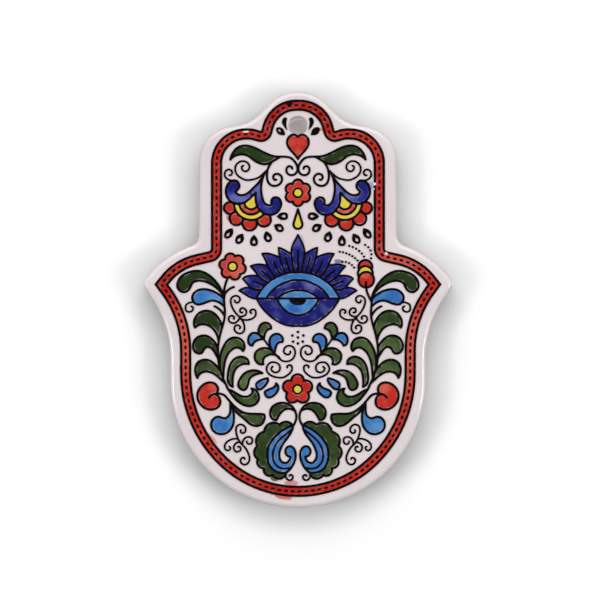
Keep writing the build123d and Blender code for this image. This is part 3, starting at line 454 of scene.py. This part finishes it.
# Places that lean further: field, tone, strength, place, width, height and turn
ACCENTS = [
    ("border_band", "thin", 0.65, -32.5, -62.0, 9.0, 22.0, 0),
    ("border_band", "thin", 0.6, 30.5, -62.0, 9.0, 30.0, 0),
    ("border_band", "thin", 0.5, 29.0, -38.8, 12.0, 7.0, -15),
    ("border_band", "deep", 0.7, -38.0, -45.5, 7.0, 9.0, 0),
    ("border_band", "deep", 0.6, 0.0, -106.0, 34.0, 7.0, 0),
    ("border_band", "deep", 0.85, 0.0, 4.0, 30.0, 12.0, 0),
    ("blossom_hooks", "thin", 0.7, -16.8, -21.2, 6.0, 3.0, -10),
    ("blossom_hooks", "thin", 0.5, -11.5, -18.0, 2.5, 6.0, 0),
    ("blossom_hooks", "thin", 0.5, 15.6, -20.6, 6.0, 2.6, 20),
    ("blossom_hooks", "thin", 0.45, 11.7, -18.4, 2.5, 5.0, 0),
    ("blossom_hooks", "deep", 0.9, -18.8, -17.2, 4.6, 3.6, 0),
    ("blossom_hooks", "deep", 0.8, -6.3, -22.6, 4.0, 4.4, 0),
    ("blossom_hooks", "deep", 0.8, 18.8, -17.6, 5.0, 4.6, 0),
    ("blossom_hooks", "deep", 0.8, 6.6, -22.8, 5.0, 5.0, 0),
    ("heart", "thin", 0.45, 0.0, -8.6, 4.0, 3.4, 0),
    ("heart", "thin", 0.2, -1.8, -4.6, 1.6, 2.4, 0),
    ("left_flower_petals", "thin", 0.7, -17.4, -42.2, 3.6, 4.4, 0),
    ("left_branch_fruit", "thin", 0.5, -24.4, -75.9, 3.6, 2.4, -30),
    ("right_branch_fruit", "thin", 0.75, 24.4, -76.2, 4.4, 3.4, 30),
    ("bud_disc", "thin", 0.6, 19.2, -43.6, 2.4, 1.4, 0),
    ("left_branch_leaves", "deep", 0.75, -30.0, -45.4, 15.0, 9.0, 0),
    ("left_branch_leaves", "deep", 0.6, -27.0, -57.5, 10.0, 8.0, 0),
    ("left_branch_leaves", "deep", 0.5, -28.5, -63.0, 5.0, 6.0, 0),
    ("left_branch_leaves", "thin", 0.55, -20.5, -67.5, 6.0, 12.0, -15),
    ("left_branch_leaves", "thin", 0.3, -25.5, -70.5, 7.0, 4.0, 15),
    ("left_branch_leaves", "thin", 0.35, -14.5, -79.6, 5.0, 2.6, -20),
    ("left_branch_leaves", "thin", 0.3, -12.5, -85.0, 6.0, 2.6, -20),
    ("right_branch_leaves", "deep", 0.7, 30.0, -45.4, 15.0, 9.0, 0),
    ("right_branch_leaves", "thin", 0.5, 24.4, -59.6, 4.0, 5.0, 0),
    ("right_branch_leaves", "thin", 0.5, 26.0, -64.0, 8.0, 4.0, 0),
    ("right_branch_leaves", "thin", 0.4, 25.5, -70.6, 8.0, 4.0, -15),
    ("right_branch_leaves", "thin", 0.5, 20.0, -66.5, 6.0, 11.0, 15),
    ("loose_leaves", "thin", 0.6, -15.0, -74.0, 5.0, 4.0, 0),
    ("loose_leaves", "deep", 0.4, 16.0, -74.0, 4.0, 4.0, 0),
    ("twig_green_leaves", "thin", 0.6, -11.0, -66.5, 4.0, 3.0, 0),
    ("paisley_backs", "deep", 0.5, -10.4, -93.5, 4.0, 9.0, 0),
    ("paisley_backs", "thin", 0.4, 9.8, -99.5, 4.0, 5.0, 30),
    ("eye_lashes", "deep", 0.95, 0.0, -44.6, 25.0, 13.0, 0),
    ("eye_lashes", "thin", 0.3, 0.0, -33.0, 2.4, 4.0, 0),
    ("eye_lashes", "thin", 0.4, -15.8, -45.4, 3.0, 4.6, 0),
    ("eye_lashes", "thin", 0.3, 15.8, -45.4, 3.0, 4.6, 0),
    ("eye_band", "thin", 0.6, 3.4, -46.3, 3.6, 2.6, -25),
    ("eye_band", "thin", 0.35, -3.6, -46.2, 3.4, 1.8, 25),
    ("eye_lower_lid", "thin", 0.25, 8.0, -53.6, 2.0, 4.0, 35),
    ("eye_lower_lid", "thin", 0.15, -6.2, -55.2, 3.0, 2.4, -30),
    ("eye_lower_iris", "deep", 0.85, -1.2, -53.2, 3.4, 2.6, -35),
    ("eye_lower_iris", "thin", 0.6, -4.3, -51.4, 2.6, 2.2, 0),
    ("eye_lid", "deep", 0.5, -1.0, -43.8, 9.0, 2.4, 0),
    ("left_branch_drops", "thin", 0.5, -24.0, -50.2, 4.0, 2.6, -15),
    ("right_branch_drops", "deep", 0.4, 28.0, -50.0, 5.0, 4.0, 0),
    ("left_branch_drops", "thin", 0.5, -19.4, -84.6, 1.8, 7.0, 0),
    ("right_branch_drops", "thin", 0.6, 23.0, -87.4, 4.6, 3.4, 0),
]
# Nicks in the red border where the glaze shows, and a blot of ink on it: place, width, height and turn
BORDER_NICKS = [(-15.1, -1.75, 1.6, 0.6, 4), (25.6, -37.2, 1.0, 0.7, -20), (22.3, -17.2, 0.9, 0.8, 0)]
BORDER_BLOT = (-2.5, 6.4, 1.9, 1.5, 20)
# Sizes in the enamel's finish
BRUSH_SIZE = 3.4 * MM
STREAK_SIZE = 0.6 * MM
DEPTH_SIZE = 2.6 * MM
GAP_SIZE = 1.9 * MM
RIPPLE_SIZE = 0.8 * MM
ENAMEL_RELIEF = 0.04 * MM
# Distances from the rim: where a field starts to pool, and where a bare rim, also a painted highlight
# along the edge, starts and stops to fill
POOL_STARTS = 0.1 * MM
BARE_AND_HIGHLIGHT_ENDS = (0.05 * MM, 0.3 * MM)
WASH_SHARE = 0.28


def mixed(first, second, amount):
    """A colour part of the way from one colour to another."""
    return tuple(start + (end - start) * amount for start, end in zip(first, second))


def enamel_finish(tone, name, scene, seed):
    """Coloured enamel: brushed thick and thin, pooled in the middle and bare in places along its rim, the
    pale rim also a painted highlight on the raised edge.
    """
    material, sheet = new_material(f"{tone}_enamel")
    enamel = scene.hamsa_enamel
    tones = {depth: getattr(enamel, f"{tone}_{depth}") for depth in ("thin", "full", "deep")}
    lean = LEAN.get(name, 0.0)
    body = mixed(tones["full"], tones["thin" if lean > 0 else "deep"], abs(lean))
    rim = sheet.node("ShaderNodeAttribute", {"attribute_name": RIM_ATTRIBUTE}, {}, out="Fac")
    pool = sheet.ease(rim, POOL_STARTS, enamel.reach)
    brush = sheet.noise(BRUSH_SIZE, 3.0, seed=seed)
    streak = sheet.noise(STREAK_SIZE, 3.0, where=sheet.along(35 + 50 * seed, 2.5), seed=seed)
    wash = sheet.ease(brush * 0.75 + streak * 0.25, 0.5, 0.72)
    depth = sheet.ease(sheet.noise(DEPTH_SIZE, 2.0, seed=seed + 3), 0.42, 0.66) * pool
    base = sheet.blend(body, mixed(body, tones["deep"], 0.5), depth)
    base = sheet.blend(base, mixed(body, tones["thin"], WASH_SHARE), wash)
    for field, accent, strength, *oval in ACCENTS:
        if field == name:
            mask = sheet.blot(*oval, soft=0.3, wobble=0.5)
            base = sheet.blend(base, tones[accent], mask * strength)
    # Pale rim: glaze showing where the enamel stops short, and also a painted highlight along the raised
    # edge
    gap = sheet.ease(sheet.noise(GAP_SIZE, 2.0, seed=seed + 7), 0.5, 0.62)
    bare = sheet.ease(rim, *BARE_AND_HIGHLIGHT_ENDS, 1.0, 0.0) * gap * BARE_RIM_AND_HIGHLIGHT.get(name, MOST_BARE_AND_HIGHLIGHT)
    base = sheet.blend(base, scene.hamsa_glaze.white, bare)
    if name == "border_band":
        base = sheet.blend(base, scene.hamsa_ink.black, sheet.blot(*BORDER_BLOT))
        for nick in BORDER_NICKS:
            base = sheet.blend(base, scene.hamsa_glaze.white, sheet.blot(*nick))
    ripple = sheet.noise(RIPPLE_SIZE, 2.0, seed=seed)
    normal = sheet.bump(ripple * 0.7 + streak * 0.3, ENAMEL_RELIEF, 0.35)
    sheet.surface(base, sheet.ease(streak, 0.2, 0.8, enamel.gloss, enamel.gloss + 0.12), normal)
    return material


def cut_grid(bm, cell):
    """Cuts a field across and along at an even spacing."""
    for axis in (0, 2):
        places = [vert.co[axis] for vert in bm.verts]
        first = int(min(places) // cell) + 1
        last = int(max(places) // cell)
        for step in range(first, last + 1):
            spot = Vector((0, 0, 0))
            spot[axis] = step * cell
            across = Vector((0, 0, 0))
            across[axis] = 1
            everything = bm.verts[:] + bm.edges[:] + bm.faces[:]
            bmesh.ops.bisect_plane(
                bm, geom=everything, dist=CUT_DISTANCE, plane_co=spot, plane_no=across
            )


def rim_points(edges):
    """Points spaced along the rim edges of a field."""
    points = []
    for edge in edges:
        start, end = (vert.co for vert in edge.verts)
        count = max(1, round((end - start).length / RIM_SPACING))
        points += [start.lerp(end, step / count) for step in range(count)]
    return points


def pool_of_enamel(name, material, enamel):
    """A field of enamel, cut fine enough to dome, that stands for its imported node."""
    bm = bmesh.new()
    bm.from_mesh(frame["nodes"][name].data)
    bmesh.ops.remove_doubles(bm, verts=bm.verts, dist=MERGE_DISTANCE)
    front = {face for face in bm.faces if face.normal.y < FRONT_FACING}
    inner = [edge for edge in bm.edges if edge.link_faces and front.issuperset(edge.link_faces)]
    bmesh.ops.dissolve_limit(bm, angle_limit=FLAT_ANGLE, verts=[], edges=inner)
    cut_grid(bm, enamel.cell)
    front = {face for face in bm.faces if face.normal.y < FRONT_FACING}
    rim_edges = [edge for edge in bm.edges if len(front.intersection(edge.link_faces)) == 1]
    points = rim_points(rim_edges)
    tree = KDTree(len(points))
    for index, point in enumerate(points):
        tree.insert(point, index)
    tree.balance()
    rim_layer = bm.verts.layers.float.new(RIM_ATTRIBUTE)
    for vert in {vert for face in front for vert in face.verts}:
        vert[rim_layer] = tree.find(vert.co)[2]
        rise = min(1.0, vert[rim_layer] / enamel.reach)
        vert.co.y += enamel.sunk - enamel.crown * sin(rise * radians(90))
    bmesh.ops.triangulate(bm, faces=[face for face in bm.faces if len(face.verts) > 4])
    front = {face for face in bm.faces if face.normal.y < FRONT_FACING}
    for face in bm.faces:
        face.smooth = face in front
    for edge in rim_edges:
        if edge.is_valid:
            edge.smooth = False
    mesh = bpy.data.meshes.new(f"{name}_pool")
    bm.to_mesh(mesh)
    bm.free()
    if "custom_normal" in mesh.attributes:
        mesh.attributes.remove(mesh.attributes["custom_normal"])
    mesh.materials.clear()
    mesh.materials.append(material)
    piece = bpy.data.objects.new(f"{name}_pool", mesh)
    bpy.context.scene.collection.objects.link(piece)
    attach(piece, BODY)
    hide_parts(name)


def pour_enamel(tone, scene):
    """Pours every field of one enamel."""
    slot = f"{tone}_enamel"
    for order, name in enumerate(nodes_of(slot)):
        pool_of_enamel(name, enamel_finish(tone, name, scene, order), scene.hamsa_enamel)


class HAMSA_OT_clay(Operator):
    """Leaves the clay bare on the back"""

    bl_idname = "hamsa.clay"
    bl_label = "Bare Clay"

    def execute(self, context):
        dress("clay", clay_finish(context.scene.hamsa_clay))
        return {"FINISHED"}


class HAMSA_OT_glaze(Operator):
    """Glazes the front, the sides and the hole"""

    bl_idname = "hamsa.glaze"
    bl_label = "White Glaze"

    def execute(self, context):
        dress("white_glaze", glaze_finish(context.scene.hamsa_glaze, context.scene.hamsa_enamel))
        return {"FINISHED"}


class HAMSA_OT_ink(Operator):
    """Inks the black lines, stitches, seeds and dots"""

    bl_idname = "hamsa.ink"
    bl_label = "Black Lines"

    def execute(self, context):
        dress("black_ink", ink_finish(context.scene.hamsa_ink, context.scene.hamsa_glaze.white))
        return {"FINISHED"}


class HAMSA_OT_red(Operator):
    """Pours the red border, flowers and fruit"""

    bl_idname = "hamsa.red"
    bl_label = "Red Enamel"

    def execute(self, context):
        pour_enamel("red", context.scene)
        return {"FINISHED"}


class HAMSA_OT_yellow(Operator):
    """Pours the yellow hearts, domes and drop"""

    bl_idname = "hamsa.yellow"
    bl_label = "Yellow Enamel"

    def execute(self, context):
        pour_enamel("yellow", context.scene)
        return {"FINISHED"}


class HAMSA_OT_green(Operator):
    """Pours the green leaves"""

    bl_idname = "hamsa.green"
    bl_label = "Green Enamel"

    def execute(self, context):
        pour_enamel("green", context.scene)
        return {"FINISHED"}


class HAMSA_OT_cobalt(Operator):
    """Pours the cobalt lashes, lids and hooks"""

    bl_idname = "hamsa.cobalt"
    bl_label = "Cobalt Enamel"

    def execute(self, context):
        pour_enamel("cobalt", context.scene)
        return {"FINISHED"}


class HAMSA_OT_pale_blue(Operator):
    """Pours the pale blue irises, drops and crescents"""

    bl_idname = "hamsa.pale_blue"
    bl_label = "Pale Blue Enamel"

    def execute(self, context):
        pour_enamel("pale_blue", context.scene)
        return {"FINISHED"}


# The paper behind the hanging hole keeps less of the dusk, the painted shadow: width of that patch, and
# the share left off
HOLE_MASK = 9.0
HOLE_SHARE = 0.97
# The dark card about the camera: angles between which it gives way to the room, and how bright it is
CARD_ENDS = (18, 38)
CARD_LEVEL = 0.05
# How far a direction points to the back, where the front's light fades and the light behind begins
FRONT_FADES = (-0.45, -0.05)
BEHIND_BEGINS = (0.7, 0.85)
LEVEL_SKY = 1.05
# Soft boxes: name, place right, back and up from the middle height of the hand, width, height and power
BOXES = [
    ("left_box", (-0.75, -0.5, -0.2), 0.36, 0.45, "side_power"),
    ("right_box", (0.75, -0.5, -0.2), 0.36, 0.45, "side_power"),
    ("top_box", (0, -0.55, 0.8), 1.2, 0.8, "top_power"),
    ("back_box", (0.5, 0.8, 0.6), 0.5, 0.5, "back_power"),
]


def paper_finish(stage):
    """White paper that keeps the lamps' shadow, darkens with a painted shadow from occlusion near the
    hand, looks white to the camera and can't be seen from behind.
    """
    material, sheet = new_material("white_paper")
    camera_ray = sheet.node("ShaderNodeLightPath", out="Is Camera Ray")
    glossy_ray = sheet.node("ShaderNodeLightPath", out="Is Glossy Ray")
    open_sky = sheet.node(
        "ShaderNodeAmbientOcclusion", {"samples": OCCLUSION_SAMPLES}, {"Distance": stage.corner}, out="AO"
    )
    hole = sheet.blot(0, 0, HOLE_MASK, HOLE_MASK, soft=0.05, wobble=0.0)
    # Painted shadow: the paper's colour falls towards the dusk tint where occlusion by the hand is high
    tone = sheet.blend(stage.dusk_tint, stage.paper, open_sky ** ((1 - hole * HOLE_SHARE) * stage.dusk))
    paper = sheet.node("ShaderNodeBsdfDiffuse", {}, {"Color": tone})
    strength = (camera_ray + glossy_ray) * stage.glow
    glow = sheet.node("ShaderNodeEmission", {}, {"Color": tone, "Strength": strength})
    front = sheet.node("ShaderNodeAddShader", {}, {0: paper, 1: glow})
    behind = sheet.node("ShaderNodeBsdfTransparent")
    facing = sheet.node("ShaderNodeNewGeometry", out="Backfacing")
    both = sheet.node("ShaderNodeMixShader", {}, {0: facing, 1: front, 2: behind})
    sheet.node("ShaderNodeOutputMaterial", {}, {"Surface": both})
    return material


def hang_paper(stage):
    """A wide sheet of paper: a floor, a bend and a wall just behind the hand."""
    low, high = (Vector(corner) for corner in CAD_BOX)
    wall_y = high.y + stage.paper_gap
    floor_z = low.z - stage.floor_drop
    half = stage.paper_width / 2
    bm = bmesh.new()
    bmesh.ops.create_grid(bm, x_segments=1, y_segments=1, size=half)
    bmesh.ops.scale(bm, verts=bm.verts, vec=(1, stage.floor_depth / stage.paper_width, 1))
    bmesh.ops.translate(bm, verts=bm.verts, vec=(0, wall_y - stage.floor_depth / 2, floor_z))
    back = [edge for edge in bm.edges if all(abs(vert.co.y - wall_y) < MM for vert in edge.verts)]
    raised = bmesh.ops.extrude_edge_only(bm, edges=back)["geom"]
    risen = [item for item in raised if isinstance(item, bmesh.types.BMVert)]
    bmesh.ops.translate(bm, verts=risen, vec=(0, 0, stage.paper_width))
    bmesh.ops.bevel(
        bm, geom=back, offset=stage.bend, offset_type="OFFSET", affect="EDGES", segments=BEND_SEGMENTS,
        profile=0.5, material=-1,
    )
    for face in bm.faces:
        face.smooth = True
    mesh = bpy.data.meshes.new("paper_sweep")
    bm.to_mesh(mesh)
    bm.free()
    mesh.materials.append(paper_finish(stage))
    paper = bpy.data.objects.new("paper_sweep", mesh)
    bpy.context.scene.collection.objects.link(paper)
    paper.visible_shadow = False
    paper.visible_diffuse = False


def hang_lamp(name, place, aim, wide, tall, power):
    """A soft box that points at a spot."""
    lamp = bpy.data.lights.new(name, "AREA")
    lamp.shape = "RECTANGLE"
    lamp.size = wide
    lamp.size_y = tall
    lamp.energy = power
    holder = bpy.data.objects.new(name, lamp)
    holder.location = place
    holder.rotation_euler = (Vector(aim) - Vector(place)).to_track_quat("-Z", "Y").to_euler()
    bpy.context.scene.collection.objects.link(holder)


def light_room(stage):
    """Soft light from the front and overhead, with a dark card about the camera and some light behind.

    The camera itself sees white wherever it looks past the paper.
    """
    world = bpy.data.worlds.new("studio")
    bpy.context.scene.world = world
    sheet = NodeSheet(world)
    direction = sheet.node("ShaderNodeTexCoord", out="Generated")
    toward_back = sheet.node("ShaderNodeSeparateXYZ", {}, {0: direction}, out="Y")
    inner, outer = (-cos(radians(angle)) for angle in CARD_ENDS)
    card = sheet.ease(toward_back, inner, outer, CARD_LEVEL, 1.0)
    front = sheet.ease(toward_back, *FRONT_FADES, 1.0, stage.grazing)
    behind = sheet.ease(toward_back, *BEHIND_BEGINS, 0.0, stage.behind)
    up = sheet.node("ShaderNodeSeparateXYZ", {}, {0: direction}, out="Z")
    sky = (up * stage.rise + LEVEL_SKY) * stage.sky
    camera_ray = sheet.node("ShaderNodeLightPath", out="Is Camera Ray")
    level = (card * front * sky + behind) * (1 - camera_ray) + camera_ray
    glow = sheet.node("ShaderNodeBackground", {}, {"Color": (1, 1, 1, 1), "Strength": level})
    sheet.node("ShaderNodeOutputWorld", {}, {"Surface": glow})


class HAMSA_OT_stage(Operator):
    """Hangs the paper, lights the hand and sets the camera"""

    bl_idname = "hamsa.stage"
    bl_label = "Stage"

    def execute(self, context):
        stage = context.scene.hamsa_stage
        low, high = (Vector(corner) for corner in CAD_BOX)
        middle = (low + high) / 2
        hang_paper(stage)
        light_room(stage)
        for name, (right, back, rise), wide, tall, power in BOXES:
            place = (right, back, middle.z + rise)
            hang_lamp(name, place, middle, wide, tall, getattr(stage, power))
        camera = bpy.data.cameras.new("photo_camera")
        camera.lens = stage.lens
        camera.clip_start = NEAREST_SEEN
        holder = bpy.data.objects.new("photo_camera", camera)
        distance = stage.view_width * stage.lens / camera.sensor_width
        holder.location = (stage.view_right, low.y - distance, -stage.view_down)
        holder.rotation_euler = (radians(90), 0, 0)
        context.scene.collection.objects.link(holder)
        context.scene.camera = holder
        context.scene.view_settings.view_transform = "Standard"
        return {"FINISHED"}


OPERATORS = (
    HAMSA_OT_clay, HAMSA_OT_glaze, HAMSA_OT_ink, HAMSA_OT_red, HAMSA_OT_yellow, HAMSA_OT_green,
    HAMSA_OT_cobalt, HAMSA_OT_pale_blue, HAMSA_OT_stage,
)


class HAMSA_PT_panel(Panel):
    """Lists the steps that finish the hand"""

    bl_label = "Hamsa Hand"
    bl_idname = "HAMSA_PT_panel"
    bl_space_type = "VIEW_3D"
    bl_region_type = "UI"
    bl_category = "Hamsa"

    def draw(self, context):
        for step in OPERATORS:
            self.layout.operator(step.bl_idname)


GROUPS = {
    "hamsa_clay": HamsaClay,
    "hamsa_glaze": HamsaGlaze,
    "hamsa_ink": HamsaInk,
    "hamsa_enamel": HamsaEnamel,
    "hamsa_stage": HamsaStage,
}
CLASSES = (*GROUPS.values(), *OPERATORS, HAMSA_PT_panel)


def register():
    for item in CLASSES:
        bpy.utils.register_class(item)
    for name, group in GROUPS.items():
        setattr(bpy.types.Scene, name, PointerProperty(type=group))


def unregister():
    for name in GROUPS:
        delattr(bpy.types.Scene, name)
    for item in reversed(CLASSES):
        bpy.utils.unregister_class(item)


def main():
    register()
    bpy.ops.hamsa.clay()
    bpy.ops.hamsa.glaze()
    bpy.ops.hamsa.ink()
    bpy.ops.hamsa.red()
    bpy.ops.hamsa.yellow()
    bpy.ops.hamsa.green()
    bpy.ops.hamsa.cobalt()
    bpy.ops.hamsa.pale_blue()
    bpy.ops.hamsa.stage()


if __name__ == "__main__":
    main()
